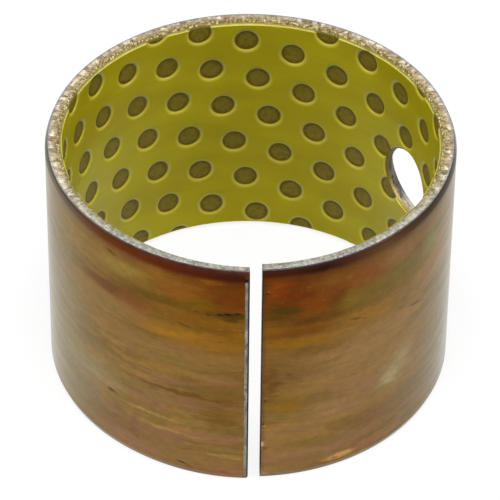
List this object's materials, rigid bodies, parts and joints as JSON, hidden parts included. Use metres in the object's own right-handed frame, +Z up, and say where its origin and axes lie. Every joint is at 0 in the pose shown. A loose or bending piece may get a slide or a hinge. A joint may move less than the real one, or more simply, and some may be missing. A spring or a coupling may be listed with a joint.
{
  "type": "split plain bushing with grease pockets",
  "caption": "Split, rolled plain bushing: steel backing, sintered bronze layer and acetal lining with grease pockets, for a pin or shaft pressed into a housing bore.",
  "frame": {"origin": "centre of the lower end face, on the bore's axis", "axes": "+Z up along the bore, -Y towards the butt joint, the oil hole on the +X side"},
  "size_m": [0.06, 0.06, 0.04],
  "materials": {
    "steel": "satin, copper-brown film with streaks, bare silver on the end lands",
    "bronze": "granular, sintered",
    "acetal": "satin, olive yellow"
  },
  "bodies": {
    "root": {"steel_backing": "steel", "bronze_interlayer": "bronze", "acetal_lining": "acetal"}
  },
  "joints": []
}
